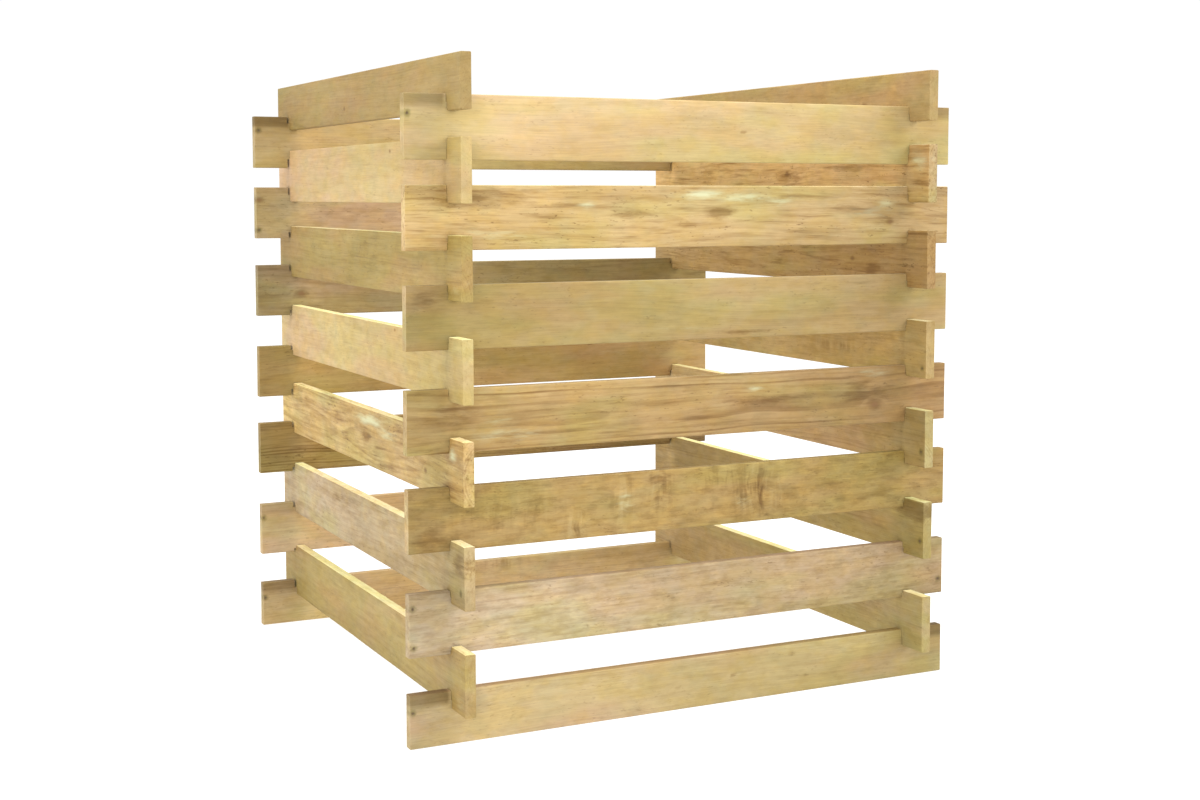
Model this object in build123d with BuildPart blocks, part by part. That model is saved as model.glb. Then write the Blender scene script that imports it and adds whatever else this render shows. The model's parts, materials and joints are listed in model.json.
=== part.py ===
"""Slatted wooden composter: a square bin of notched boards, stacked crosswise like a log cabin.

Millimetres, +Z up. The origin is on the ground, at the centre of the plan. The front boards
run along X at the -Y side. Courses alternate: front and back boards lie on the ground, the
left and right boards drop into their notches, and so on up to the rim.
"""
from build123d import *
import os

# One planed slat, the stock that every board is cut from
board_length = 900.0
board_height = 89.0
board_thickness = 16.0
arris = 1.5                     # planed-off corner along each long edge

# The two boards on the ground and the two at the rim are ripped to a narrower height
ground_board_height = 76.0
rim_board_height = 76.0

# Where the walls cross: from a board's end to the outer face of the wall that crosses it
front_overhang = 61.0           # on the front and back boards
side_overhang = 53.5            # on the left and right boards

# The cross-lap: each board sinks into the ones below it by a lap, half in each notch
lap_depth = 20.0
notch_play = 2.0                # free room on each side of a board centred in its notch
seat_gap = 0.5                  # free room on the near side of one pushed over to that side

# How deep each course sits on the one below it, upwards from the ground, in lap depths
lap_shares = (1.30, 0.55, 0.90, 0.75, 1.00, 1.10, 0.85, 0.90, 1.05, 1.05, 1.25, 1.50, 1.15)
notch_share = 0.5               # of the lap, cut from each of the two boards that cross

cut_overrun = 5.0               # how far a cut reaches past the wood it removes

# Outer faces of the walls, measured from the centre
front_face = board_length / 2 - side_overhang
side_face = board_length / 2 - front_overhang
notch_width = board_thickness + 2 * notch_play

# The side walls stand pushed over in the front and back boards: to the left, seen from outside
pushed_over = notch_play - seat_gap

# Courses from the ground up, the front and back pair first
course_count = len(lap_shares) + 1
course_heights = [board_height] * course_count
course_heights[0] = ground_board_height
course_heights[-1] = rim_board_height

# Height of each course's lower edge: it stands on the course below, less the lap
course_bottoms = [0.0]
for lap_share, height_below in zip(lap_shares, course_heights):
    course_bottoms.append(course_bottoms[-1] + height_below - lap_share * lap_depth)


def notched_board(outer_face, overhang, notch_shift, height, lower_notch, upper_notch):
    """One board standing on edge, with a notch near each end in its lower and upper edges.

    The outline lies on outer_face, up from its origin, and the wood goes inwards from it.
    The middle of a notch lies notch_shift to the right of the middle of the wall that crosses
    here, seen from outside. Its depth is zero where no wall crosses.
    """
    notch_spacing = board_length - 2 * overhang - board_thickness
    with BuildPart() as board:
        with BuildSketch(outer_face):
            Rectangle(board_length, height, align=(Align.CENTER, Align.MIN))
        extrude(amount=-board_thickness)

        along_board = Axis((0, 0, 0), outer_face.x_dir)
        chamfer(board.edges().filter_by(along_board), length=arris)

        for edge_height, depth in ((0, lower_notch), (height, upper_notch)):
            if depth > 0:
                with BuildSketch(outer_face.offset(cut_overrun)):
                    with Locations((notch_shift, edge_height)):
                        with GridLocations(notch_spacing, 0, 2, 1):
                            Rectangle(notch_width, 2 * depth)
                extrude(amount=-board_thickness - 2 * cut_overrun, mode=Mode.SUBTRACT)
    return board


# Each pair of walls: names and the planes that face outwards, where they stand, their overhang,
# and how far their notches are shifted
front_and_back = (("front", Plane.front), ("back", Plane.back))
left_and_right = (("left", Plane.left), ("right", Plane.right))
wall_pairs = (
    (front_and_back, front_face, front_overhang, pushed_over),
    (left_and_right, side_face, side_overhang, 0),
)

os.makedirs("parts", exist_ok=True)
board_count = 0

for course in range(course_count):
    walls, face_distance, overhang, notch_shift = wall_pairs[course % 2]
    lower_lap = lap_shares[course - 1] * lap_depth if course > 0 else 0
    upper_lap = lap_shares[course] * lap_depth if course < course_count - 1 else 0

    for wall_name, wall_plane in walls:
        outer_face = Plane(
            origin=wall_plane.z_dir * face_distance + Vector(0, 0, course_bottoms[course]),
            x_dir=wall_plane.x_dir,
            z_dir=wall_plane.z_dir,
        )
        board = notched_board(
            outer_face,
            overhang,
            notch_shift,
            course_heights[course],
            lower_lap * notch_share,
            upper_lap * notch_share,
        )
        name = f"{wall_name}_board_{course // 2 + 1}"
        board.part.label = name
        export_step(board.part, f"parts/{name}.step")
        board_count += 1

total_height = course_bottoms[-1] + course_heights[-1]
print(board_count, "boards in", course_count, "courses, total height", total_height, "mm")
print("course bottoms", [round(bottom, 2) for bottom in course_bottoms])
print("plan", 2 * side_face, "by", 2 * front_face, "mm over the walls' outer faces")
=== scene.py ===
# %% [markdown]
# # A slatted wooden composter
# The bin is a stack of 28 planed pine boards. Two boards lie across two boards, like the logs of a
# cabin, and notches near their ends hold them together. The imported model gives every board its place,
# so the first step loads it and keeps its box, which the finished boards must not leave.

import json
import math

import bpy
import numpy as np
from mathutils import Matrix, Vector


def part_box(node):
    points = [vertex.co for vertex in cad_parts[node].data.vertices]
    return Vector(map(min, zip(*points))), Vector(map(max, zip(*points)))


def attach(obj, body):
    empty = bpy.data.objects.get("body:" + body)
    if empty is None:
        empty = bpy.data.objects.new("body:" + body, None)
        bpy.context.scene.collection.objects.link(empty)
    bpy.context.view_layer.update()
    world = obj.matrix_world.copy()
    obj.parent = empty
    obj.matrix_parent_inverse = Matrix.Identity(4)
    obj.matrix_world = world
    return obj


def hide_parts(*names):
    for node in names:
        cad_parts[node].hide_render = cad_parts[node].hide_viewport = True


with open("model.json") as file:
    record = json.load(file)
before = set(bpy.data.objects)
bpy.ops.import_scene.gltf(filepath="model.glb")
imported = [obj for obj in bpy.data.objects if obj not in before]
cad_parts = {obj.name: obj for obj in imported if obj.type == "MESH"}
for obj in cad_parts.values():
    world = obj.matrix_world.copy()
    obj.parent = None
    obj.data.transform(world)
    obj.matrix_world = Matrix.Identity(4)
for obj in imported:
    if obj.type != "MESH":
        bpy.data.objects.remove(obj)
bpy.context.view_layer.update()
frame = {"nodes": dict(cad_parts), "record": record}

# %% [markdown]
# ## Which boards there are, and where they cross
# A board's size and place come from the box of its node. Where another wall crosses it, the notch is
# as wide as that wall is thick, with some play at each side. Two boards share a lap: each gives half
# of it. All of that can be worked out from the boxes, so no size is typed twice.

# %% Read the boards from the frame
mm = 0.001
notch_play = 2.0 * mm
# The side walls are pushed over in the notches of the front and back, almost up to one side
seat_gap = 0.5 * mm
# Each wall turns the same board about the upright axis, so that its outer face looks outwards
wall_turn = {"front": 0, "right": 1, "back": 2, "left": 3}
boxes = {name: np.array(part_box(name)) for name in frame["nodes"]}


def course_of(name):
    """Courses are counted from the ground: front and back boards are even, left and right are odd."""
    wall, _, number = name.split("_")
    return 2 * (int(number) - 1) + (wall in ("left", "right"))


def placed_or_drawn(name, placed, drawn):
    """What was listed for a board, or else what was drawn, but never on the front and left walls."""
    return placed.get(name, () if name.startswith(("front", "left")) else drawn)


boards = sorted(boxes, key=lambda name: (course_of(name), name))
course_span = {course_of(name): boxes[name][:, 2] for name in boards}
top_course = max(course_span)
nodes_of_body = frame["record"]["behaviour"]["bodies"]
body_of_node = {node: body for body, nodes in nodes_of_body.items() for node in nodes}
print(len(boards), "boards in", top_course + 1, "courses")

# %% [markdown]
# ## Where the lattice lines of a board run
# A board is a box with bites taken out of it. It is drawn on a lattice of stations along its length,
# rows up its height and columns through its thickness. A line runs wherever something happens, such
# as a notch or a pin hole, and the stretches in between are divided evenly.

# %% Lattice lines
arris_radius = 1.8 * mm
# Lines at these shares of the radius from an edge make an arc of about 15 degree steps
arris_shares = np.array([0.0, 0.3, 0.62, 1.0])
pin_line_offsets = np.array([-3.4, -2.1, -1.0, 0.0, 1.0, 2.1, 3.4]) * mm
station_step = 6.0 * mm
row_step = 8.0 * mm


def lattice_lines(places, longest_step):
    """The sorted places, and between each two of them equal steps no longer than longest_step."""
    places = np.unique(np.round(places, 6))
    counts = np.maximum(np.ceil(np.diff(places) / longest_step).astype(int), 1)
    stretches = [np.linspace(a, b, n, endpoint=False) for a, b, n in zip(places[:-1], places[1:], counts)]
    return np.concatenate(stretches + [places[-1:]])


print("an arris takes", len(arris_shares), "lines")

# %% [markdown]
# ## The skin of a notched board
# The surface is every side of a lattice cell with wood on one side and air on the other. Comparing the
# table of cells with itself, shifted by one, finds all those sides at once. Neighbouring sides share
# their corners, so the skin is closed, and each is wound so that it faces outwards. A modifier such as
# Boolean could cut the notches too, but it leaves long thin faces that spoil the shading.

# %% Skin of the solid cells
def skin(solid, columns):
    """Quads around the cells where solid[station, row] is wood, over all columns of the thickness.

    Vertex (i, k, j) of the lattice has the number (i * rows + k) * columns + j. A side between
    cells i - 1 and i shows where solid changes from one to the other, and its winding follows the
    sign of the change. Returns the quads, and for each the axis that it looks along.
    """
    stations, rows = np.array(solid.shape) + 1
    number = np.arange(stations * rows * columns).reshape(stations, rows, columns)
    i, k = np.nonzero(solid)
    outer = [number[i, k, 0], number[i + 1, k, 0], number[i + 1, k + 1, 0], number[i, k + 1, 0]]
    inner = [number[i, k, -1], number[i, k + 1, -1], number[i + 1, k + 1, -1], number[i + 1, k, -1]]
    quads = [np.stack(outer, 1), np.stack(inner, 1)]
    axes = [np.full(2 * len(i), 1)]
    padded = np.pad(solid.astype(int), 1)
    for axis, change in ((0, np.diff(padded, axis=0)[:, 1:-1]), (2, np.diff(padded, axis=1)[1:-1])):
        for sign in (1, -1):
            i, k = np.nonzero(change == sign)
            di, dk = (0, 1) if axis == 0 else (1, 0)
            a = number[i, k, :-1].ravel()
            b = number[i, k, 1:].ravel()
            c = number[i + di, k + dk, 1:].ravel()
            d = number[i + di, k + dk, :-1].ravel()
            # Seen from outside, that is anticlockwise where wood ends along x or begins along z
            anticlockwise = (sign == -1) == (axis == 0)
            quads.append(np.stack([a, b, c, d] if anticlockwise else [a, d, c, b], 1))
            axes.append(np.full(len(a), axis))
    return np.concatenate(quads), np.concatenate(axes)


print("a single cell has", len(skin(np.ones((1, 1), bool), 2)[0]), "sides")

# %% [markdown]
# ## Planed corners
# A planer mill rounds the long corners of a board a little, so they catch a line of light. Each square
# corner of the lattice is bent onto a quarter circle. Handling dents that corner here and there, and a
# dent is the same bend made deeper.

# %% Round the long corners
# How deep a corner is bent, and how that varies along it
corner_depth = 0.9
depth_swing = 0.12
swing_length = 40 * mm
# Bounds of the number of dents, of their widths in millimetres and of their depths
dent_counts = (2, 6)
dent_widths = (3.0, 9.0)
dent_depths = (0.3, 1.3)


def bend_corner(across, up, depth):
    """Shifts of a point away from both faces, which bend a square corner to a quarter circle.

    With a and b as shares from 0 at the radius to 1 at the edge, the bent shares are a * sqrt(1 - b*b/2)
    and b * sqrt(1 - a*a/2). depth multiplies the shift, so that more than 1 makes a dent.
    """
    a = np.clip(1 - across / arris_radius, 0, 1)
    b = np.clip(1 - up / arris_radius, 0, 1)
    shift_across = (a - a * np.sqrt(1 - b * b / 2)) * arris_radius * depth
    shift_up = (b - b * np.sqrt(1 - a * a / 2)) * arris_radius * depth
    return shift_across, shift_up


def dents(stations, rng):
    """How deep the corner is bent along a board: a slow sine, and depth * exp(-(dx / width)^2) per dent."""
    depth = corner_depth + depth_swing * np.sin(stations / swing_length + rng.uniform(0, 6.3))
    for _ in range(rng.integers(*dent_counts)):
        place = rng.uniform(stations[0], stations[-1])
        width = rng.uniform(*dent_widths) * mm
        depth += rng.uniform(*dent_depths) * np.exp(-(((stations - place) / width) ** 2))
    return depth


print("a square corner is bent in by", round(bend_corner(0.0, 0.0, 1.0)[0] / mm, 2), "mm from each face")

# %% [markdown]
# ## Pin holes near the ends
# Here and there a small hole with a bruised rim shows close to the end of a board, where it hung on
# pins while it was soaked. A hole is pressed into both faces as a round dimple, on lattice lines of its
# own, so that the hollow is real and takes a shadow.

# %% Pin holes
pin_radius = 1.3 * mm
pin_depth = 1.1 * mm
# A hole lies at least this far below the upper edge
pin_margin = 10 * mm
# Bounds for drawn holes, in millimetres: in from the end, and up from the lower edge
drawn_pin_insets = (5, 12)
drawn_pin_heights = (15, 28)
# Which end, then millimetres in from that end and up from the lower edge
hand_pins = {
    "front_board_7": [(-1, 5.0, 62.0)],
    "front_board_2": [(-1, 5.2, 69.0), (-1, 6.6, 14.5), (1, 7.9, 22.9)],
    "front_board_1": [(-1, 4.4, 51.1)],
    "back_board_7": [(1, 6.8, 65.0)],
    "back_board_6": [(1, 4.6, 14.2)],
    "back_board_2": [(1, 4.2, 65.2)],
    "back_board_1": [(1, 4.2, 49.4)],
    "left_board_2": [(1, 14.2, 22.3)],
    "right_board_4": [(-1, 9.7, 15.3)],
    "right_board_3": [(-1, 9.7, 24.1)],
    "right_board_2": [(-1, 9.1, 27.2)],
}


def pin_places(name, length, height, rng):
    """Along and up for the holes of a board. Up to two near random ends can be drawn."""
    drawn = []
    for _ in range(rng.integers(0, 3)):
        drawn.append((rng.choice([-1, 1]), rng.uniform(*drawn_pin_insets), rng.uniform(*drawn_pin_heights)))
    spots = np.array(placed_or_drawn(name, hand_pins, drawn), float).reshape(-1, 3)
    along = spots[:, 0] * (length / 2 - spots[:, 1] * mm)
    return np.stack([along, np.minimum(spots[:, 2] * mm, height - pin_margin)], 1)


print("pin holes placed by hand:", sum(len(pins) for pins in hand_pins.values()))

# %% [markdown]
# ## One board
# A board is built lying along its own axis with its outer face to the front, then turned to its wall.
# Its notches are left out of the lattice. Then its points are moved: first for wear, then for drying.

# %% Notches of a board
def notch_spans(name):
    """Spans of both notches, depths of the lower and upper ones, and (length, height, thickness)."""
    wall = name.split("_")[0]
    axis = 0 if wall in ("front", "back") else 1
    pushed_over = notch_play - seat_gap if axis == 0 else 0.0
    crossing = [n for n in boards if course_of(n) % 2 != course_of(name) % 2 and n.endswith("_1")]
    spans = [boxes[n][:, axis] + np.array([-notch_play, notch_play]) for n in crossing]
    if wall_turn[wall] >= 2:
        spans = [-span[::-1] for span in spans]
    spans = sorted((span + pushed_over for span in spans), key=lambda span: span[0])
    course = course_of(name)
    bottom, top = course_span[course]
    lower = (course_span[course - 1][1] - bottom) / 2 if course > 0 else 0.0
    upper = (top - course_span[course + 1][0]) / 2 if course < top_course else 0.0
    length, thickness = (float(np.ptp(boxes[name][:, n])) for n in (axis, 1 - axis))
    return spans, float(lower), float(upper), (length, float(top - bottom), thickness)


for example in ("front_board_1", "left_board_4"):
    _, lower, upper, size = notch_spans(example)
    print(example, "notch depths and size in mm:", [round(v / mm, 1) for v in (lower, upper, *size)])

# %% Lattice of a board
end_ease = 0.5 * mm


def board_lattice(name, pins):
    """Stations, rows and columns of a board's lattice, and which of its cells are wood."""
    spans, lower, upper, (length, height, thickness) = notch_spans(name)
    ends = [-length / 2, -length / 2 + end_ease, length / 2 - end_ease, length / 2]
    stations = np.concatenate([ends, *spans, *(pins[:, :1] + pin_line_offsets)])
    stations = lattice_lines(stations, station_step)
    arris = arris_shares * arris_radius
    floors = [lower, height - upper]
    rows = np.concatenate([arris, height - arris, floors, *(pins[:, 1:] + pin_line_offsets)])
    rows = lattice_lines(rows, row_step)
    columns = np.unique(np.round(np.concatenate([arris, thickness - arris, [thickness / 2]]), 6))
    middle = (stations[1:] + stations[:-1]) / 2
    centre = (rows[1:] + rows[:-1]) / 2
    in_notch = np.any([(middle > a) & (middle < b) for a, b in spans], axis=0)
    cut_away = (centre < lower) | (centre > height - upper)
    return stations, rows, columns, ~(in_notch[:, None] & cut_away[None, :])


print("cells of a board, along and up:", board_lattice("front_board_4", np.zeros((0, 2)))[3].shape)

# %% Worn surface
# The eased ends are drawn in by this share of end_ease
end_taper = 0.6


def at_end(x, length):
    """1 for points at the two ends of a board, and 0 for all others."""
    return (np.abs(x) > length / 2 - end_ease / 2).astype(float)


def wear_surface(x, y, z, size, pins, rng):
    """y and z of the points, with round and dented corners, eased ends and the dimples of the pins.

    A dimple is pin_depth * exp(-r*r) deep, with r the distance from its middle in pin radii.
    """
    length, height, thickness = size
    # The four long corners, each with its own dents
    from_face = np.stack([y, thickness - y])
    from_edge = np.stack([z, height - z])
    for face, face_sign in ((0, 1), (1, -1)):
        for edge, edge_sign in ((0, 1), (1, -1)):
            depth = dents(x[:, 0, 0], rng)[:, None, None]
            across, up = bend_corner(from_face[face], from_edge[edge], depth)
            y = y + face_sign * across
            z = z + edge_sign * up
    drawn_in = at_end(x, length) * end_ease * end_taper
    y = y + drawn_in * (1 - 2 * y / thickness)
    z = z + drawn_in * np.clip(1 - 2 * z / height, -1, 1)
    for along, up in pins:
        from_pin = np.hypot(x - along, z - up) / pin_radius
        # The outer third of the thickness is pushed one way, and the inner third the other
        y = y + pin_depth * np.exp(-(from_pin**2)) * np.clip(3 - 6 * y / thickness, -1, 1)
    return y, z


print("an eased end is", end_taper * end_ease / mm, "mm smaller all round")

# %% Dried and sawn
# How far a board is bowed, cupped and twisted by drying, and how far its ends are cut short
largest_bow = 0.5 * mm
largest_cup = 0.15 * mm
largest_twist = 0.15 * mm
largest_cut = 0.7 * mm
# A cut moves all points beyond this share of half the length
cut_reach = 0.98


def dry_and_saw(x, y, z, size, rng):
    """x and y of the points after drying and sawing. The edges that others rest on stay in place.

    With t and s as shares of half the length and half the height, from -1 to 1, the faces bow by
    b * (1 - t*t), cup by c * (s*s - 1/3) and twist by w * t * s. An end is cut short by one draw, and
    out of square by another times (1 + s) / 2.
    """
    length, height, _ = size
    t = 2 * x / length
    s = 2 * z / height - 1
    bow, cup, twist = rng.uniform(-1, 1, 3) * (largest_bow, largest_cup, largest_twist)
    y = y + bow * (1 - t * t) + cup * (s * s - 1 / 3) + twist * t * s
    cut = rng.uniform(0, largest_cut, 2)
    skew = rng.uniform(0, largest_cut, 2) * (0.5 + 0.5 * s[..., None]) * at_end(x, length)[..., None]
    inwards = np.where(t > 0, cut[1] + skew[..., 1], -cut[0] - skew[..., 0])
    return x - inwards * (np.abs(t) > cut_reach), y


print("a board ends up to", 2 * largest_cut / mm, "mm short at a corner")

# %% Shape of a board
def board_shape(name, rng):
    """Vertices, quads, the axis each quad looks along, and the pin places of one board.

    In its own axes, x is along the board, y through it with the outer face first, and z up.
    """
    size = notch_spans(name)[-1]
    pins = pin_places(name, *size[:2], rng)
    stations, rows, columns, solid = board_lattice(name, pins)
    quads, axes = skin(solid, len(columns))
    x, z, y = np.meshgrid(stations, rows, columns, indexing="ij")
    y, z = wear_surface(x, y, z, size, pins, rng)
    x, y = dry_and_saw(x, y, z, size, rng)
    points = np.stack([x, y, z], -1).reshape(-1, 3)
    # Only the lattice points that the skin touches are kept
    used, quads = np.unique(quads, return_inverse=True)
    return points[used], quads.reshape(-1, 4), axes, pins


example_points, example_quads, *_ = board_shape("front_board_4", np.random.default_rng(1))
print("a board has", len(example_points), "vertices and", len(example_quads), "quads")

# %% [markdown]
# ## Knots
# A knot is a branch that the trunk grew round. Seen on a board it is a round or oval spot of dark,
# tight rings, and the grain flows past it like water past a stone. This bin has few, and all are small.
# Those that show in the photo are listed. A board of the right or back wall without such a
# list gets up to two drawn at random.

# %% Knots of each board
# Along from the middle, up from the lower edge and radius, in millimetres. An empty list means none.
hand_knots = {
    "front_board_6": [(340, 34, 2.2)],
    "front_board_4": [(316, 30, 4.0)],
    "back_board_6": [(444, 67, 3.0)],
    "back_board_1": [],
    "left_board_7": [(-59, 23, 1.6)],
    "left_board_6": [(162, 76, 1.4)],
    "left_board_4": [(173, 83, 1.2)],
    "left_board_3": [(300, 30, 2.0)],
    "right_board_6": [(-43, 48, 2.4)],
    "right_board_1": [],
}


def knots_of(name, rng):
    """Along, up and radius in metres of the board's knots. Drawn ones keep clear of ends and edges."""
    length, height, _ = notch_spans(name)[-1]
    count = rng.integers(0, 3)
    low = (-0.42 * length, 0.15 * height, 1.5 * mm)
    high = (0.42 * length, 0.85 * height, 5.0 * mm)
    drawn = rng.uniform(low, high, (count, 3)) / mm
    return np.array(placed_or_drawn(name, hand_knots, drawn), float).reshape(-1, 3) * mm


print("boards with knots placed by hand:", [name for name, knots in hand_knots.items() if knots])

# %% Offsets to the nearest of some spots
def offsets_to_nearest(points, quads, spots):
    """Offsets along and up from the spot nearest to each quad's middle, and its radius, for each corner.

    All corners of a quad measure from one spot, so the offset runs straight across it and the finish can
    draw the spot sharper than the mesh is.
    """
    if len(spots) == 0:
        # A spot nine metres away never shows
        spots = np.array([[9.0, 9.0, mm]])
    flat = points[:, [0, 2]]
    middles = flat[quads].mean(1)
    nearest = np.argmin(((middles[:, None] - spots[None, :, :2]) ** 2).sum(-1), axis=1)
    offsets = flat[quads] - spots[nearest, None, :2]
    radius = np.broadcast_to(spots[nearest, None, 2:], offsets.shape[:2] + (1,))
    return np.concatenate([offsets, radius], -1).reshape(-1, 3)


print("corners of a board:", len(offsets_to_nearest(example_points, example_quads, [])))

# %% [markdown]
# ## Soft marks
# The preservative leaves its own marks on wet wood: a pale, greenish bloom where the salts dried out,
# and brown clouds where resin came up. Near a fork in the trunk the grain curls, and shows as short
# upright waves. Some board ends have a dark band along the top: painted shadow, where the crossing board
# shades them.
# Each mark is a soft oval. How much of it there is at each point is stored with the mesh, and the
# finish frays its edge along the grain.

# %% Marks of each board
mark_kinds = ("bloom", "cloud", "curl", "painted shadow")
# Kind, along from the middle, up from the lower edge, half length and half height in mm, share
hand_marks = {
    "front_board_7": [
        ("cloud", 77, 43, 9, 4, 1.1), ("cloud", 62, 55, 7, 4, 1.0), ("cloud", 171, 75, 9, 4, 1.0),
        ("cloud", 104, 41, 10, 4, 0.8), ("cloud", -125, 12, 9, 4, 0.8),
    ],
    "front_board_6": [
        ("bloom", 8, 76, 56, 10, 0.95), ("bloom", 76, 72, 60, 9, 0.9), ("bloom", 140, 66, 54, 8, 0.75),
        ("bloom", 300, 50, 60, 12, 0.6), ("bloom", 332, 63, 28, 8, 0.7), ("bloom", -330, 22, 110, 12, 0.6),
        ("bloom", -176, 60, 22, 6, 0.85), ("cloud", 38, 50, 30, 10, 1.3), ("cloud", -350, 72, 120, 22, 0.9),
        ("cloud", -215, 62, 34, 7, 0.9), ("cloud", -105, 48, 50, 8, 1.0), ("cloud", -100, 35, 18, 4, 0.9),
        ("cloud", 285, 54, 70, 14, 0.8), ("cloud", 330, 34, 50, 9, 0.8),
    ],
    "front_board_5": [
        ("bloom", -20, 16, 130, 7, 0.35), ("cloud", 80, 8, 48, 5, 1.1), ("cloud", -50, 66, 18, 5, 0.9),
        ("cloud", 260, 76, 200, 10, 0.5), ("cloud", -420, 70, 40, 20, 0.8),
    ],
    "front_board_4": [
        ("bloom", -295, 20, 84, 14, 0.62), ("bloom", -318, 42, 30, 9, 0.6), ("bloom", 99, 64, 20, 6, 0.8),
        ("bloom", 315, 80, 48, 8, 0.6), ("cloud", 300, 46, 60, 18, 1.0), ("cloud", 288, 62, 44, 8, 0.9),
        ("cloud", 120, 46, 120, 14, 0.7), ("cloud", -380, 54, 60, 26, 0.8),
    ],
    "front_board_3": [
        ("curl", -120, 50, 20, 36, 0.6), ("curl", 106, 46, 36, 38, 1.0), ("curl", -196, 20, 14, 22, 1.0),
        ("curl", -62, 60, 20, 30, 0.6), ("curl", 60, 70, 60, 20, 0.4), ("curl", -300, 50, 90, 30, 0.3),
        ("bloom", -119, 50, 18, 20, 0.6), ("bloom", 76, 35, 26, 14, 0.55), ("bloom", 235, 60, 60, 14, 0.3),
        ("cloud", -62, 77, 24, 10, 1.1), ("cloud", 112, 52, 30, 16, 0.8), ("cloud", -420, 18, 40, 20, 0.9),
    ],
    "front_board_2": [
        ("cloud", -190, 78, 70, 8, 0.6), ("cloud", -330, 20, 60, 12, 0.4), ("cloud", 60, 60, 120, 10, 0.3),
    ],
    "front_board_1": [
        ("cloud", 168, 61, 9, 4, 1.0), ("cloud", 64, 41, 7, 4, 1.0), ("cloud", 194, 26, 8, 4, 0.8),
        ("cloud", -30, 30, 10, 4, 0.8),
    ],
    "left_board_5": [("bloom", 430, 20, 34, 18, 0.45), ("cloud", 40, 70, 160, 14, 0.5)],
    "left_board_3": [
        ("bloom", 48, 72, 84, 13, 0.95), ("bloom", 130, 60, 50, 10, 0.8), ("bloom", 408, 66, 18, 16, 0.9),
        ("cloud", 26, 46, 34, 10, 1.2), ("cloud", -120, 60, 60, 14, 0.7), ("cloud", 240, 40, 60, 16, 0.7),
        ("cloud", 430, 60, 30, 24, 0.5),
    ],
    "left_board_2": [("cloud", -100, 66, 240, 16, 0.7), ("cloud", 432, 62, 34, 22, 1.0)],
    "left_board_1": [("bloom", 430, 20, 34, 18, 0.45), ("cloud", 250, 66, 160, 14, 0.6)],
    "right_board_6": [
        ("bloom", -424, 64, 34, 20, 0.7), ("cloud", -426, 26, 40, 16, 0.4),
        ("cloud", -43, 44, 60, 16, 0.9), ("cloud", -250, 60, 90, 14, 0.8),
    ],
    "right_board_5": [("cloud", -303, 26, 40, 14, 1.0), ("cloud", -100, 60, 120, 16, 0.6)],
    "right_board_2": [("cloud", -425, 74, 60, 18, 1.3)],
    "back_board_3": [("cloud", 300, 40, 120, 12, 0.8), ("curl", -90, 40, 40, 36, 0.5)],
}
print("marks placed by hand:", sum(len(marks) for marks in hand_marks.values()))

# %% Marks at each point
# Share of the painted shadow band along the top, for the boards whose ends have one
painted_shadow_share = {
    "front_board_7": 0.75, "front_board_6": 0.35, "front_board_1": 1.0, "front_board_4": 0.35,
    "back_board_7": 1.0, "back_board_1": 0.9, "back_board_2": 0.5, "back_board_5": 0.3,
}
# Height of the painted shadow band and its soft lower rim, in millimetres
painted_shadow_height = 20
painted_shadow_rim = 5
# Marks that may be drawn for a board, each with one chance in two, and their shares
marks_to_draw = (("bloom", 0.5), ("cloud", 0.6), ("cloud", 0.4), ("curl", 0.5))


def draw_marks(length, rng):
    """Marks at random places, in the form of the table above."""
    drawn = []
    for kind, share in marks_to_draw:
        if rng.random() > 0.5:
            along, up = rng.uniform(-0.4, 0.4) * length / mm, rng.uniform(10, 80)
            drawn.append((kind, along, up, rng.uniform(30, 90), rng.uniform(8, 16), share))
    return drawn


def marks_at(name, points, rng):
    """For each point its share of every kind: the largest share * exp(-(dx/a)^2 - (dz/b)^2) of its marks.

    a and b are half the length and half the height of a mark. The painted shadow band lies outside the
    notches.
    """
    spans, _, _, (length, height, _) = notch_spans(name)
    drawn = draw_marks(length, rng)
    shares = np.zeros((len(points), len(mark_kinds)))
    for kind, along, up, half_length, half_height, share in placed_or_drawn(name, hand_marks, drawn):
        across = (points[:, 0] / mm - along) / half_length
        above = (points[:, 2] / mm - up) / half_height
        column = mark_kinds.index(kind)
        shares[:, column] = np.maximum(shares[:, column], share * np.exp(-(across**2 + above**2)))
    past_notch = np.clip((np.abs(points[:, 0]) - spans[1][1]) / mm + 1, 0, 1)
    from_top = (height - points[:, 2]) / mm
    in_painted_shadow = np.clip((painted_shadow_height - from_top) / painted_shadow_rim, 0, 1)
    # Painted shadow: a dark band along the top of the end past the notch, where the crossing board shades
    # it
    shares[:, mark_kinds.index("painted shadow")] = painted_shadow_share.get(name, 0.0) * past_notch * in_painted_shadow
    return shares


print("boards with a dark band at their ends:", len(painted_shadow_share))

# %% [markdown]
# ## Colours and nodes
# Colours are written as they look on a screen, in sRGB, and one function turns them into the linear
# values that the render works with. Another small function adds any shader node, sets its options and
# links it. It gives back an output, so that the next node can take it straight away.

# %% Colour and node helpers
def linear(hex_colour):
    """sRGB "#rrggbb" as linear red, green, blue and alpha, by the curve of the sRGB standard."""
    values = np.array([int(hex_colour[i : i + 2], 16) for i in (1, 3, 5)]) / 255
    values = np.where(values <= 0.04045, values / 12.92, ((values + 0.055) / 1.055) ** 2.4)
    return (*map(float, values), 1.0)


def add_node(tree, kind, inputs, output=0, **settings):
    """Adds a shader node and gives back one of its outputs.

    kind is its type without "ShaderNode", and settings are its own options. inputs gives its sockets
    a value, or the output of another node to be linked from.
    """
    added = tree.nodes.new("ShaderNode" + kind)
    for option, value in settings.items():
        setattr(added, option, value)
    for socket, value in inputs.items():
        if isinstance(value, bpy.types.NodeSocket):
            tree.links.new(value, added.inputs[socket])
        else:
            added.inputs[socket].default_value = value
    return added.outputs[output] if added.outputs else None


print("linear of mid grey:", round(linear("#808080")[0], 3))

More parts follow.
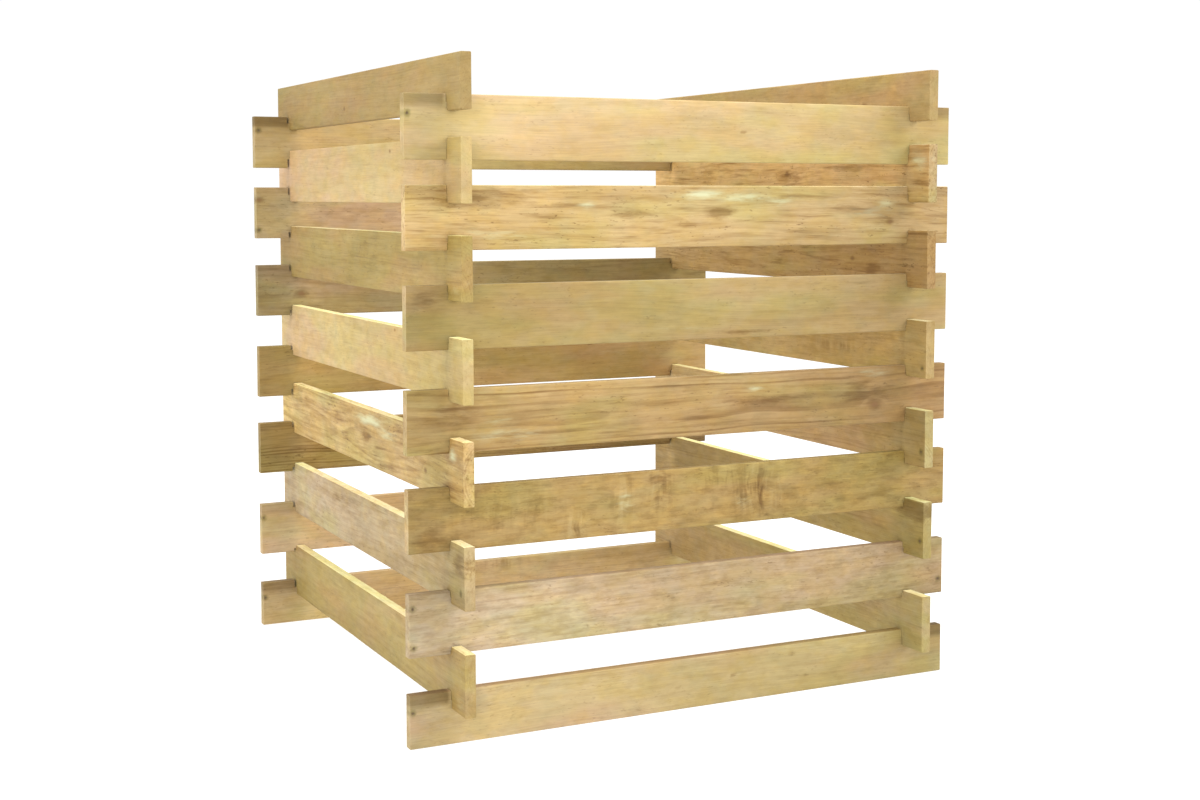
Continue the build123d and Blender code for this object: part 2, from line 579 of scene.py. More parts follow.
# %% [markdown]
# ## Pressure-impregnated pine
# The boards are pine, planed and then soaked under pressure in a preservative that leaves a faint olive
# tint. From coarse to fine, the look is made by clouds of tint, dapples, streaks, growth rings, short dark
# flecks and fibres. Each is a noise with a real size: how long its spots are along the grain, and how wide
# across it. The tint patterns lie straight along the trunk. The grain patterns follow every bend of it.

# %% Sizes of the patterns
# Length along the grain and width across it, both in millimetres, then detail and roughness
tint_patterns = {
    "shade": (385.0, 90.9, 2.0, 0.5),
    "hue": (200.0, 62.5, 2.0, 0.5),
    "gold and ash": (50.0, 31.3, 3.0, 0.6),
    "dapple": (29.4, 11.1, 4.0, 0.65),
    "paler dapple": (21.7, 13.3, 3.0, 0.6),
    "fleck zone": (90.9, 35.7, 1.0, 0.5),
    "bend": (385.0, 167.0, 1.0, 0.5),
    "curl": (38.5, 71.4, 1.0, 0.5),
    "knot outline": (6.67, 3.85, 2.0, 0.5),
    "pin outline": (5.0, 5.0, 2.0, 0.5),
}
grain_patterns = {
    "ring patch": (167.0, 33.3, 1.0, 0.5),
    "streak": (125.0, 7.14, 3.0, 0.6),
    "flame": (90.9, 5.88, 3.0, 0.6),
    "fleck": (10.5, 3.03, 2.0, 0.6),
    "fibre": (71.4, 1.11, 2.0, 0.5),
    "fray": (41.7, 7.69, 4.0, 0.65),
    "curl wave": (11.8, 71.4, 2.0, 0.6),
}


def add_patterns(tree, space, sizes):
    """The noises of a table in the given space: spots of length s take a scale of 1 / s."""
    made = {}
    for title, (along, across, detail, roughness) in sizes.items():
        scale = (1 / (along * mm), 1 / (across * mm), 1 / (across * mm))
        stretched = add_node(tree, "Mapping", {"Vector": space, "Scale": scale})
        sockets = {"Vector": stretched, "Scale": 1.0, "Detail": detail, "Roughness": roughness}
        made[title] = add_node(tree, "TexNoise", sockets)
    return made


print(len(tint_patterns), "tint patterns and", len(grain_patterns), "grain patterns")

# %% [markdown]
# ## The bent log
# A trunk is never quite straight, and its grain flows round a knot like water round a stone. So the place
# of each point in the log is shifted before the grain is drawn: by a slow drift, by a quicker one where
# the grain curls, and outwards near a knot. Each point knows its offset from the nearest knot and pin
# hole, and a noise on that distance takes away the perfect oval.

# %% Bend of the grain
bend_shift = 28.0 * mm
curl_shift = 45.0 * mm


def bend_log(tree, place, tints, curl):
    """The place, moved by (noise - 1/2) * bend_shift across, and by (noise - 1/2) * curl_shift in curls."""
    noise = tints["bend"].node.outputs["Color"]
    reach = (0.0, bend_shift, bend_shift)
    start = (0.0, -bend_shift / 2, -bend_shift / 2)
    drift = add_node(tree, "VectorMath", {0: noise, 1: reach, 2: start}, operation="MULTIPLY_ADD")
    noise = tints["curl"].node.outputs["Color"]
    sway = add_node(tree, "VectorMath", {0: noise, 1: (0.5, 0.5, 0.5)}, operation="SUBTRACT")
    amount = add_node(tree, "Math", {0: curl, 1: curl_shift}, operation="MULTIPLY")
    sway = add_node(tree, "VectorMath", {0: sway, "Scale": amount}, operation="SCALE")
    bent = add_node(tree, "VectorMath", {0: place, 1: drift}, operation="ADD")
    return add_node(tree, "VectorMath", {0: bent, 1: sway}, operation="ADD")


print("the grain drifts by up to", bend_shift / 2 / mm, "mm to each side")

# %% Distances from knots and pins
# A knot is 1.5 times as long as high. The third value of its offset is its radius, and is left out
knot_shape = (1 / 1.5, 1.0, 0.0)
# A noise from 0 to 1 times these is added to the distances, about half of each on average
knot_wobble = 0.9
pin_wobble = 5.0 * mm
# The push of a knot on the grain is full at its heart, and ends this many radii out
knot_heart = knot_wobble / 2
knot_reach = 5.0 + knot_heart


def spot_distances(tree, tints):
    """Distance from the nearest knot in its radii, its push on the grain, and distance from a pin."""
    knot = add_node(tree, "Attribute", {}, "Vector", attribute_name="knot")
    radius = add_node(tree, "SeparateXYZ", {0: knot}, "Z")
    oval = add_node(tree, "VectorMath", {0: knot, 1: knot_shape}, operation="MULTIPLY")
    oval = add_node(tree, "VectorMath", {0: oval}, "Value", operation="LENGTH")
    from_knot = add_node(tree, "Math", {0: oval, 1: radius}, operation="DIVIDE")
    sockets = {0: tints["knot outline"], 1: knot_wobble, 2: from_knot}
    from_knot = add_node(tree, "Math", sockets, operation="MULTIPLY_ADD")
    sockets = {"Value": from_knot, "From Min": knot_reach, "From Max": knot_heart, "To Max": radius}
    push = add_node(tree, "MapRange", sockets, interpolation_type="SMOOTHSTEP")
    pin = add_node(tree, "Attribute", {}, "Vector", attribute_name="pin")
    pin = add_node(tree, "VectorMath", {0: pin, 1: (1.0, 1.0, 0.0)}, operation="MULTIPLY")
    from_pin = add_node(tree, "VectorMath", {0: pin}, "Value", operation="LENGTH")
    sockets = {0: tints["pin outline"], 1: pin_wobble, 2: from_pin}
    return from_knot, push, add_node(tree, "Math", sockets, operation="MULTIPLY_ADD")


print("a knot pushes the grain out to", knot_reach - knot_heart, "radii from its heart")

# %% [markdown]
# ## Growth rings
# Each year a tree adds a pale layer in spring and a dark, thin one in late summer. In the log's own space
# that is a circle about the pith, drawn out along the trunk. A board shows the circles as arches and
# lines, depending on where it was sawn from, and its faces and ends cut the same rings.

# %% Rings of the log
ring_spacing = 4.0 * mm
log_taper = 0.010
# At its heart a knot shifts the rings by this many of its radii
knot_push = 1.6
# The rings' own darkness changes over about two rings
darkness_pace = 0.45


def add_rings(tree, bent, push, grain, strength):
    """How dark a ring is. Their count is (distance from the pith + taper * x + push) / ring_spacing."""
    across = add_node(tree, "VectorMath", {0: bent, 1: (0.0, 1.0, 1.0)}, operation="MULTIPLY")
    from_pith = add_node(tree, "VectorMath", {0: across}, "Value", operation="LENGTH")
    along = add_node(tree, "SeparateXYZ", {0: bent}, "X")
    for source, share in ((along, log_taper), (push, knot_push)):
        from_pith = add_node(tree, "Math", {0: source, 1: share, 2: from_pith}, operation="MULTIPLY_ADD")
    count = add_node(tree, "Math", {0: from_pith, 1: ring_spacing}, operation="DIVIDE")
    ring = add_node(tree, "Math", {0: count}, operation="FRACT")
    year = add_node(tree, "Math", {0: count, 1: darkness_pace}, operation="MULTIPLY")
    own_darkness = add_node(tree, "TexNoise", {"W": year, "Scale": 1.0}, noise_dimensions="1D")
    # Slow rise to the dark edge, quick fall after it, the year's own darkness, and patches where rings
    # fade. Each row is what the slope follows, where it begins and is full, and its lowest value.
    slopes = [
        (ring, 0.30, 0.88, 0.0),
        (ring, 1.0, 0.92, 0.0),
        (own_darkness, 0.42, 0.66, 0.12),
        (grain["ring patch"], 0.35, 0.65, 0.35),
    ]
    for follows, start, full, lowest in slopes:
        sockets = {"Value": follows, "From Min": start, "From Max": full, "To Min": lowest}
        slope = add_node(tree, "MapRange", sockets, interpolation_type="SMOOTHSTEP")
        strength = add_node(tree, "Math", {0: strength, 1: slope}, operation="MULTIPLY")
    return strength


print("rings every", ring_spacing / mm, "mm")

# %% [markdown]
# ## The finish in layers
# The colour starts as the board's own tint, and every pattern and mark goes on as one more thin layer, as
# stains do on real wood. A layer follows a pattern or a distance, begins at one value of it and is full at
# another. MULTIPLY darkens like a stain, MIX covers like dried salt or dirt, and DODGE brightens.

# %% What a board tells its finish
figure_shares = ("rings", "flecks", "dapples", "greenness")


def read_board(tree):
    """The place in the log, the tone, and by name each share of the board's figure and marks."""
    told = {}
    for title, kind in (("log", "Vector"), ("tone", "Color"), ("figure", "Color"), ("marks", "Color")):
        told[title] = add_node(tree, "Attribute", {}, kind, attribute_name=title)
    for title, shares in (("figure", figure_shares), ("marks", mark_kinds)):
        first_three = add_node(tree, "SeparateColor", {0: told[title]}).node.outputs
        told.update(zip(shares, [*first_three, told[title].node.outputs["Alpha"]]))
    return told


print("a board tells its finish its", ", ".join(figure_shares + mark_kinds))

# %% Layers of the finish
layer_colours = {
    "green": "#FAFFF4", "pink": "#FFF9FD", "gold": "#FFFCEA", "ash": "#F8FCFF", "late": "#CFC2AE",
    "streak": "#E7E0D4", "flame": "#C8BAA4", "fleck": "#AE9E86", "cloud": "#CBBEA8", "shade": "#EEECE4",
    "dapple": "#E5DFD3", "light": "#68655C", "arc": "#BDAC8E", "pale wave": "#CBBB8C", "salt": "#CCD4AE",
    "painted shadow": "#BEB6A6", "heart": "#7A5838", "bruise": "#C2C6AC", "hole": "#5A4638",
}


def finish_layers(tree, told, tints, grain, from_knot, from_pin):
    """The table of layers, in the order in which they go on."""
    two_tints = tints["gold and ash"].node.outputs["Color"]
    gold, ash, _ = add_node(tree, "SeparateColor", {0: two_tints}).node.outputs
    # Sums of the form source * share + start, which some layers follow or take their strength from
    sums = {
        "hue": (told["greenness"], 0.6, tints["hue"]),
        "streaks": (told["flecks"], 0.9, 0.05),
        "flecks": (told["flecks"], 0.6, 0.25),
        "clouded": (grain["fray"], 1.5, told["cloud"]),
        "salted": (grain["fray"], 1.58, told["bloom"]),
        "salt": (told["bloom"], 0.68, 0.0),
        "pale waves": (told["curl"], 0.25, 0.0),
    }
    for title, (source, share, start) in sums.items():
        sums[title] = add_node(tree, "Math", {0: source, 1: share, 2: start}, operation="MULTIPLY_ADD")
    sockets = {"Value": tints["fleck zone"], "From Min": 0.42, "From Max": 0.60}
    sockets |= {"To Min": 0.05, "To Max": sums["flecks"]}
    flecks_here = add_node(tree, "MapRange", sockets, interpolation_type="SMOOTHSTEP")
    # What each layer follows, where it begins and is full, its strength, how it goes on, and its
    # colour. The distances from knots and pins hold the mean of their wobble, 0.45 radii and 2.5 mm.
    return [
        (sums["hue"], 0.72, 0.94, 1.0, "MULTIPLY", "green"),
        (sums["hue"], 0.88, 0.66, 1.0, "MULTIPLY", "pink"),
        (tints["shade"], 0.36, 0.62, 1.0, "MULTIPLY", "shade"),
        (gold, 0.40, 0.62, 1.0, "MULTIPLY", "gold"),
        (ash, 0.46, 0.66, 1.0, "MULTIPLY", "ash"),
        (tints["dapple"], 0.42, 0.66, told["dapples"], "MULTIPLY", "dapple"),
        (tints["paler dapple"], 0.48, 0.70, told["dapples"], "DODGE", "light"),
        (grain["streak"], 0.40, 0.72, sums["streaks"], "MULTIPLY", "streak"),
        (grain["flame"], 0.50, 0.74, sums["streaks"], "MULTIPLY", "flame"),
        (grain["fleck"], 0.61, 0.71, flecks_here, "MULTIPLY", "fleck"),
        (sums["clouded"], 1.10, 1.80, 1.0, "MULTIPLY", "cloud"),
        (grain["curl wave"], 0.48, 0.66, told["curl"], "MULTIPLY", "arc"),
        (grain["curl wave"], 0.46, 0.30, sums["pale waves"], "MIX", "pale wave"),
        (sums["salted"], 1.06, 1.81, sums["salt"], "MIX", "salt"),
        # Painted shadow of the crossing board along the top of some ends
        (grain["streak"], 0.0, 0.45, told["painted shadow"], "MULTIPLY", "painted shadow"),
        (from_knot, 3.65, 1.35, 0.75, "MULTIPLY", "cloud"),
        (from_knot, 1.85, 0.85, 0.65, "MIX", "heart"),
        (from_pin, 10.5 * mm, 4.5 * mm, 0.9, "MULTIPLY", "bruise"),
        (from_pin, 5.5 * mm, 3.3 * mm, 0.75, "MIX", "hole"),
    ]


print(len(layer_colours), "colours of layers")

# %% Colour of the finish
darkest_fibre = 0.93
palest_fibre = 1.05


def layered_colour(tree, wood, rings, grain, layers):
    """The board's tone under its rings, its fibres and all layers."""
    late = {0: rings, 6: wood, 7: linear(layer_colours["late"])}
    wood = add_node(tree, "Mix", late, 2, data_type="RGBA", blend_type="MULTIPLY")
    sockets = {"Value": grain["fibre"], "From Min": 0.30, "From Max": 0.70}
    sockets |= {"To Min": darkest_fibre, "To Max": palest_fibre}
    fibres = add_node(tree, "MapRange", sockets, interpolation_type="SMOOTHSTEP")
    wood = add_node(tree, "Mix", {0: 1.0, 6: wood, 7: fibres}, 2, data_type="RGBA", blend_type="MULTIPLY")
    for follows, start, full, strength, blend, colour in layers:
        sockets = {"Value": follows, "From Min": start, "From Max": full, "To Max": strength}
        share = add_node(tree, "MapRange", sockets, interpolation_type="SMOOTHSTEP")
        sockets = {0: share, 6: wood, 7: linear(layer_colours[colour])}
        wood = add_node(tree, "Mix", sockets, 2, data_type="RGBA", blend_type=blend)
    return wood


print("fibres take the colour to between", darkest_fibre, "and", palest_fibre, "of itself")

# %% Relief of the finish
# A circular saw leaves upright scratches on the ends, this far apart and this long
scratch_spacing = 1.0 * mm
scratch_length = 17.0 * mm


def add_relief(tree, place, rings, grain, end_grain):
    """Bump: latewood, fibres and streaks stand proud, together by a tenth of a millimetre or so."""
    raised = [(rings, 0.5), (grain["fibre"], 0.7), (grain["streak"], 0.9)]
    if end_grain:
        scale = (1 / scratch_spacing, 1 / scratch_spacing, 1 / scratch_length)
        scratches = add_node(tree, "Mapping", {"Vector": place, "Scale": scale})
        raised.append((add_node(tree, "TexNoise", {"Vector": scratches, "Scale": 1.0}), 1.6))
    relief = 0.0
    for pattern, share in raised:
        relief = add_node(tree, "Math", {0: pattern, 1: share, 2: relief}, operation="MULTIPLY_ADD")
    return add_node(tree, "Bump", {"Strength": 0.5, "Distance": 0.15 * mm, "Height": relief})


print("saw scratches are", scratch_length / mm, "mm long")

# %% The whole pine finish
def pine_finish(name, end_grain):
    """The pine material: seen on planed faces, or on cross-cut ends, which have saw marks."""
    material = bpy.data.materials.new(name)
    material.use_nodes = True
    tree = material.node_tree
    tree.nodes.clear()
    told = read_board(tree)
    tints = add_patterns(tree, told["log"], tint_patterns)
    from_knot, push, from_pin = spot_distances(tree, tints)
    bent = bend_log(tree, told["log"], tints, told["curl"])
    grain = add_patterns(tree, bent, grain_patterns)
    rings = add_rings(tree, bent, push, grain, told["rings"])
    layers = finish_layers(tree, told, tints, grain, from_knot, from_pin)
    wood = layered_colour(tree, told["tone"], rings, grain, layers)
    bump = add_relief(tree, told["log"], rings, grain, end_grain)
    # Dry wood reflects little and widely: index 1.5, and streaks are a little duller than the rest
    sockets = {"Value": grain["streak"], "From Min": 0.3, "From Max": 0.7, "To Min": 0.64, "To Max": 0.76}
    roughness = add_node(tree, "MapRange", sockets, interpolation_type="SMOOTHSTEP")
    sockets = {"Base Color": wood, "Roughness": roughness, "Normal": bump}
    sockets |= {"IOR": 1.5, "Specular IOR Level": 0.35}
    add_node(tree, "OutputMaterial", {"Surface": add_node(tree, "BsdfPrincipled", sockets)})
    return material


pine_face = pine_finish("pressure-impregnated pine, planed", end_grain=False)
pine_end = pine_finish("pressure-impregnated pine, cross-cut", end_grain=True)
print("nodes in the planed finish:", len(pine_face.node_tree.nodes))

# %% [markdown]
# ## Every board its own tint
# No two boards come from the same log, and hardly one has the same colour from end to end. A handful of
# tints covers them all. Each board has one, with a lightness, for both ends, and the colour runs evenly
# between them. The lightnesses also carry painted light and shade, where one end stood in brighter light
# than the other. The last tenth can be darker with painted shade, or paler with painted light. Sawn ends
# are paler too, and upper edges take a painted highlight. The figure of the grain differs as well: how
# strong its rings are, how many flecks and streaks it has, how dappled and how green.

# %% Tints of the boards
board_tints = {
    "straw": "#CEB77F", "ivory": "#CEB487", "khaki": "#CEB276", "ochre": "#CEB06D", "umber": "#CEAC75",
    "bark": "#CEA969", "rosy": "#CEBB99", "clay": "#CEB28D", "honey": "#CEB47C",
}
# Tint and lightness at the left end and at the right end, seen from outside, the lightness partly painted
# light and shade; rings, flecks, dapples and greenness; how pale the sawn ends are and how strong the
# painted highlight on the upper edges is; and the painted shade on the last tenth at the left and at the
# right end: darker above zero, painted light below it
board_looks = {
    "front_board_7": ("ivory", 0.95, "straw", 0.77, 0.15, 0.08, 0.25, 0.50, 0.50, 0.00, 0.5, -0.1),
    "front_board_6": ("honey", 0.96, "honey", 0.60, 0.40, 0.80, 0.25, 0.35, 0.60, 0.90, -0.1, -0.6),
    "front_board_5": ("khaki", 0.62, "honey", 0.58, 0.20, 0.15, 0.30, 0.48, 0.60, 0.10, 0.4, -0.4),
    "front_board_4": ("khaki", 0.76, "umber", 0.53, 1.40, 0.50, 0.40, 0.36, 0.70, 0.10, 0.5, -0.7),
    "front_board_3": ("ochre", 0.59, "ochre", 0.57, 0.25, 0.35, 0.90, 0.42, 0.70, 0.05, 0.4, 0.0),
    "front_board_2": ("rosy", 0.85, "ivory", 0.59, 0.30, 0.45, 0.75, 0.40, 0.30, -0.10, 0.7, 0.1),
    "front_board_1": ("clay", 0.92, "straw", 0.62, 0.20, 0.15, 0.40, 0.60, 0.30, -0.20, 0.7, 0.3),
    "left_board_7": ("ochre", 0.50, "umber", 0.69, 0.30, 0.15, 0.35, 0.55, -0.10, 0.00, 0.1, 0.4),
    "left_board_6": ("clay", 0.99, "khaki", 0.75, 0.15, 0.10, 0.30, 0.45, 0.50, 0.10, -0.1, 0.2),
    "left_board_5": ("ochre", 0.53, "ochre", 0.65, 0.40, 0.30, 0.40, 0.55, 0.00, 0.60, 0.0, 0.0),
    "left_board_4": ("ivory", 0.89, "honey", 0.87, 0.15, 0.15, 0.45, 0.50, 0.50, 1.00, -0.2, 0.3),
    "left_board_3": ("honey", 0.97, "khaki", 0.71, 0.60, 0.90, 0.60, 0.40, 0.40, 0.90, -1.1, -0.6),
    "left_board_2": ("rosy", 0.75, "straw", 0.62, 0.20, 0.45, 0.60, 0.40, 0.60, 0.90, 0.0, 0.4),
    "left_board_1": ("ochre", 0.60, "khaki", 0.63, 0.30, 0.20, 0.50, 0.60, 0.15, 0.75, -0.2, 0.0),
    "right_board_7": ("umber", 0.82, "khaki", 0.77, 0.20, 0.15, 0.50, 0.45, 0.05, 0.00, 0.7, 0.0),
    "right_board_6": ("umber", 1.12, "khaki", 1.03, 0.40, 1.00, 0.40, 0.30, 0.65, 0.80, 1.0, -1.5),
    "right_board_5": ("bark", 0.58, "khaki", 0.82, 0.40, 0.80, 0.40, 0.30, 0.05, 0.30, 0.4, 0.0),
    "right_board_4": ("ochre", 0.82, "straw", 0.90, 0.30, 0.30, 0.50, 0.40, 0.30, 0.90, 1.0, 0.0),
    "right_board_3": ("umber", 0.71, "ivory", 1.07, 0.40, 0.30, 0.50, 0.50, 0.85, 0.80, 0.9, 0.0),
    "right_board_2": ("khaki", 0.78, "umber", 0.54, 0.40, 0.25, 0.50, 0.75, 0.40, 1.00, 1.0, -1.5),
    "right_board_1": ("straw", 0.72, "khaki", 0.63, 0.30, 0.20, 0.50, 0.50, 0.05, 0.90, 0.7, -0.9),
    "back_board_7": ("khaki", 0.64, "honey", 0.89, 0.15, 0.15, 0.40, 0.40, 0.30, 0.10, 0.5, 1.1),
    "back_board_6": ("ivory", 0.84, "clay", 0.88, 0.20, 0.30, 0.50, 0.50, 0.30, 0.10, 0.5, 0.9),
    "back_board_5": ("ochre", 0.37, "ivory", 0.71, 0.40, 0.50, 0.50, 0.60, 0.20, 0.10, -0.4, 1.1),
    "back_board_4": ("umber", 0.73, "ochre", 0.78, 0.40, 0.30, 0.40, 0.50, 0.20, 0.10, -0.1, 1.2),
    "back_board_3": ("bark", 0.42, "ochre", 0.72, 1.60, 0.60, 0.30, 0.45, 0.20, 0.10, 0.5, 1.1),
    "back_board_2": ("straw", 0.93, "clay", 1.20, 0.30, 0.25, 0.40, 0.35, 0.40, 0.10, 0.5, 1.0),
    "back_board_1": ("honey", 0.72, "ivory", 1.16, 0.30, 0.30, 0.50, 0.40, 0.30, 0.10, 0.5, 1.1),
}
print(len(board_tints), "tints for", len(board_looks), "boards")

# %% Tone of each corner
cream = np.array(linear("#CDB688"))
# Painted highlight: the colour the upper edges are brightened towards, where light from above falls on them
edge_highlight = np.array(linear("#F3E8B6"))
# Painted shade: the colour the last tenth of a board is darkened towards, on ends that lie in shadow past
# the crossing wall
painted_end_shade = np.array(linear("#DDE0DF"))
# Painted shade: the cheeks of the notches are darkened, as shade falls in the narrow slots
cheek_painted_shade = 0.35
# Shares of half the length: the stretch of painted end shade starts 99 mm from the end and is full 50 mm on
end_shade_start = 0.78
end_shade_rise = 0.11
# The kinds of side: three have the number of the axis that they look along, and a notch has cheeks
sawn_end, planed_face, upper_edge, notch_cheek = range(4)


def tones_of(name, along, kinds):
    """Colour of each corner: left * (1 - t) / 2 + right * (1 + t) / 2, with t from -1 to 1 along it.

    Sawn ends are paler, upper edges take a painted highlight, and the last tenth takes painted shade, which
    turns to painted light below zero.
    The cheeks of the notches are much darker: painted shade in the narrow slots.
    """
    left_tint, left_lightness, right_tint, right_lightness = board_looks[name][:4]
    end_paleness, edge_highlight_share, left_end_shade, right_end_shade = board_looks[name][-4:]
    left = np.array(linear(board_tints[left_tint])) * left_lightness
    right = np.array(linear(board_tints[right_tint])) * right_lightness
    tones = left * (1 - along[:, None]) / 2 + right * (1 + along[:, None]) / 2
    kinds = kinds[:, None]
    tones = np.where(kinds == sawn_end, tones + (cream - tones) * end_paleness, tones)
    # Painted highlight on the upper edges
    tones = np.where(kinds == upper_edge, tones + (edge_highlight - tones) * edge_highlight_share, tones)
    # Painted shade in the notches
    tones = np.where(kinds == notch_cheek, tones * cheek_painted_shade, tones)
    # An even S-shaped rise from nothing to the full share
    rise = np.clip((np.abs(along) - end_shade_start) / end_shade_rise, 0, 1)
    rise = rise * rise * (3 - 2 * rise)
    # Painted shade on the ends above zero, painted light below it
    share = rise * np.where(along < 0, left_end_shade, right_end_shade)
    return tones * (1 - share[:, None] * (1 - painted_end_shade))


example_tone = tones_of("front_board_4", np.zeros(1), np.full(1, planed_face))
print("linear colour of a board in its middle:", example_tone[0, :3].round(2).tolist())

# %% [markdown]
# ## Building all the boards
# The function below puts one board into Blender: its points turned to its wall, its quads, two
# materials and the attributes that they read. Flat faces are shaded smooth, except across edges
# sharper than the steps of a rounded corner.

# %% Turn a board to its wall
def on_its_wall(name, points):
    """The points of a board turned to its wall, with its outer face at the outside of its node's box.

    Each quarter turn about the upright axis takes (x, y) to (-y, x).
    """
    low, high = boxes[name]
    turns = wall_turn[name.split("_")[0]]
    outwards = np.array([(0, -1), (1, 0), (0, 1), (-1, 0)][turns])
    face_distance = max(abs(float(low[:2] @ outwards)), abs(float(high[:2] @ outwards)))
    x, y, z = (points - (0, face_distance, 0)).T
    for _ in range(turns):
        x, y = -y, x
    return np.stack([x, y, z], 1) + (0, 0, low[2])


print("left_board_1 starts at", on_its_wall("left_board_1", np.array([[-0.45, 0, 0]])).round(3).tolist())

# %% Kinds of sides
# What looks along the board within this share of half its length is the cheek of a notch
cheek_reach = 0.97


def side_kinds(points, quads, axes, along):
    """The kind of each quad: sawn end, planed face, upper edge or notch cheek.

    An upper edge looks along the upright axis from above the middle, and a lower one counts as a face.
    """
    half_height = (points[:, 2].max() + points[:, 2].min()) / 2
    low_down = points[quads, 2].min(1) < half_height
    kinds = np.where((axes == upper_edge) & low_down, planed_face, axes)
    inside = np.abs(along.reshape(-1, 4)).max(1) < cheek_reach
    return np.where((axes == sawn_end) & inside, notch_cheek, kinds)


print("sides further in than", round(1 - cheek_reach, 2), "of half the length count as cheeks")

# %% Mesh of a board
crease_angle = math.radians(35)
# Bounds in metres of a board's place in its log: along the trunk, and from its pith across and up
log_low = (0, 0.025, -0.06)
log_high = (9, 0.07, 0.02)


def board_mesh(name, rng):
    """The mesh of a board with its two materials and all that its finish reads."""
    points, quads, axes, pins = board_shape(name, rng)
    mesh = bpy.data.meshes.new(name + "_wood")
    mesh.from_pydata(on_its_wall(name, points), [], quads)
    mesh.materials.append(pine_face)
    mesh.materials.append(pine_end)
    mesh.polygons.foreach_set("material_index", (axes == sawn_end).astype(np.int32))
    # The board comes from a random stretch of the trunk, and lies on a random side of the pith
    pith = rng.uniform(log_low, log_high)
    flipped = points * (1, rng.choice([-1, 1]), 1)
    knots = knots_of(name, rng)
    holes = np.concatenate([pins, np.full((len(pins), 1), pin_radius)], 1)
    along = (points[quads, 0] / points[:, 0].max()).ravel()
    kinds = np.repeat(side_kinds(points, quads, axes, along), 4)
    stored = {
        "log": ("FLOAT_VECTOR", "POINT", flipped + pith),
        "knot": ("FLOAT_VECTOR", "CORNER", offsets_to_nearest(points, quads, knots)),
        "pin": ("FLOAT_VECTOR", "CORNER", offsets_to_nearest(points, quads, holes)),
        "marks": ("FLOAT_COLOR", "POINT", marks_at(name, points, rng)),
        "tone": ("FLOAT_COLOR", "CORNER", tones_of(name, along, kinds)),
        "figure": ("FLOAT_COLOR", "POINT", np.tile(board_looks[name][4:8], (len(points), 1))),
    }
    for title, (kind, domain, values) in stored.items():
        field = "color" if kind == "FLOAT_COLOR" else "vector"
        attribute = mesh.attributes.new(title, kind, domain)
        attribute.data.foreach_set(field, np.ascontiguousarray(values, np.float32).ravel())
    mesh.update()
    mesh.shade_smooth()
    mesh.set_sharp_from_angle(angle=crease_angle)
    return mesh


print("the boards are sawn from", log_high[0], "m of trunk")

# %% All boards as pieces
def make_board(name, seed):
    """One board as a finished piece that stands for its node."""
    piece = bpy.data.objects.new(name + "_wood", board_mesh(name, np.random.default_rng(seed)))
    bpy.context.scene.collection.objects.link(piece)
    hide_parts(name)
    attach(piece, body_of_node[name])
    return piece


pieces = [make_board(name, seed) for seed, name in enumerate(boards, start=11)]
triangles = sum(2 * len(piece.data.polygons) for piece in pieces)
print(len(pieces), "boards,", triangles, "triangles")

# %% [markdown]
# ## Floor and light
# The bin stands on a light table in a white studio: a sheet of opal acrylic that glows from below, so
# that hardly a shadow is left on it. The key lamp stands high at the front right. It reaches the far left
# corner inside the bin, and leaves the ends of the side boards in soft shade. A wide softbox overhead
# brightens the upper edges, and two fills keep the front and the left wall as bright as in the photo.

# %% Floor
floor_half = 30.0
floor_corners = [(x * floor_half, y * floor_half, 0) for x, y in ((-1, -1), (1, -1), (1, 1), (-1, 1))]
floor_mesh = bpy.data.meshes.new("floor")
floor_mesh.from_pydata(floor_corners, [], [(0, 1, 2, 3)])
# Opal acrylic, sanded matt: the lamps below it shine through the milky sheet
acrylic = bpy.data.materials.new("opal acrylic, lit from below")
acrylic.use_nodes = True
acrylic_inputs = acrylic.node_tree.nodes["Principled BSDF"].inputs
acrylic_inputs["Base Color"].default_value = linear("#B4B4B4")
acrylic_inputs["Roughness"].default_value = 0.9
acrylic_inputs["Emission Color"].default_value = (1.0, 1.0, 1.0, 1.0)
acrylic_inputs["Emission Strength"].default_value = 0.6
floor_mesh.materials.append(acrylic)
floor = bpy.data.objects.new("floor", floor_mesh)
bpy.context.scene.collection.objects.link(floor)
print("floor of", 2 * floor_half, "m")

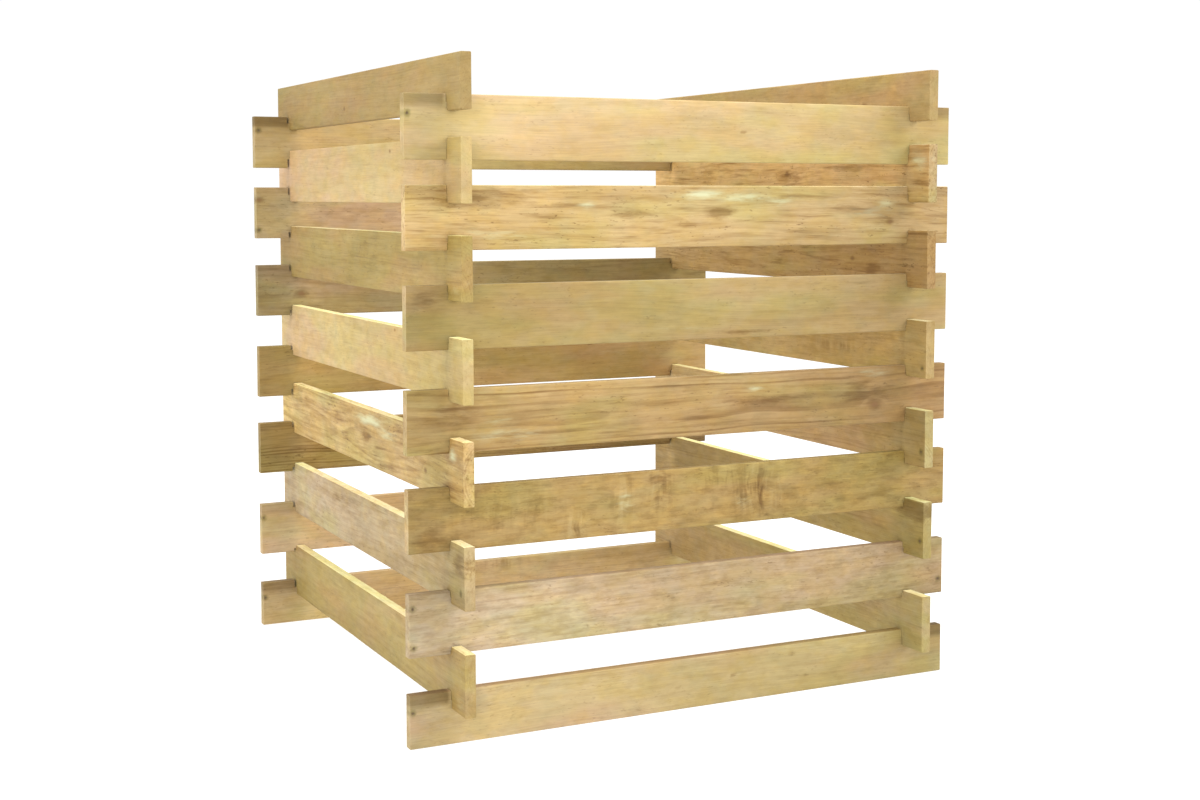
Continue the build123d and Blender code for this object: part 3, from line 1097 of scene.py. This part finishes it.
# %% Light from all round
world = bpy.data.worlds.new("white studio")
world.use_nodes = True
background_inputs = world.node_tree.nodes["Background"].inputs
background_inputs["Color"].default_value = (1.0, 1.0, 1.0, 1.0)
background_inputs["Strength"].default_value = 1.02
bpy.context.scene.world = world
bpy.context.scene.view_settings.view_transform = "Standard"
print("strength of the white all round:", round(background_inputs["Strength"].default_value, 2))

# %% Lamps
def add_lamp(name, place, target, width, height, watts):
    """A softbox at place, turned to target."""
    data = bpy.data.lights.new(name, "AREA")
    data.shape = "RECTANGLE"
    data.size = width
    data.size_y = height
    data.energy = watts
    lamp = bpy.data.objects.new(name, data)
    lamp.location = place
    way = np.array(target) - np.array(place)
    heading = math.atan2(way[0], way[1])
    tilt = math.atan2(way[2], math.hypot(way[0], way[1]))
    lamp.rotation_euler = (math.pi / 2 + tilt, 0, -heading)
    bpy.context.scene.collection.objects.link(lamp)
    return lamp


bin_middle = (0.0, 0.0, 0.5)
lamps = [
    add_lamp("key", (2.4, -2.0, 2.7), bin_middle, 2.4, 2.4, 75.0),
    add_lamp("overhead", (-0.6, -0.6, 5.0), (-0.6, 0.0, 0.5), 5.0, 1.6, 200.0),
    add_lamp("front fill", (-2.2, -3.4, 1.4), (-0.3, -0.4, 0.5), 1.2, 1.2, 35.0),
    add_lamp("left fill", (-4.2, 0.4, 1.3), bin_middle, 2.0, 2.0, 30.0),
]
print(len(lamps), "lamps")

# %% [markdown]
# ## Camera
# The photo was taken from the front left, a little below the rim, with the lens tilted down by about
# five degrees. The frame was then cropped, and the lens shift stands for that.

# %% Camera
camera_data = bpy.data.cameras.new("photo camera")
camera_data.lens = 51.5
camera_data.sensor_width = 36.0
camera_data.shift_x = -0.0214
camera_data.shift_y = -0.0464
camera = bpy.data.objects.new("photo camera", camera_data)
camera.location = (-1.2196, -2.5956, 0.7620)
camera_heading = 0.46452
camera_tilt = -0.08619
camera.rotation_euler = (math.pi / 2 + camera_tilt, 0.0, -camera_heading)
bpy.context.scene.collection.objects.link(camera)
bpy.context.scene.camera = camera
print("the camera looks", round(math.degrees(-camera_tilt), 1), "degrees down")
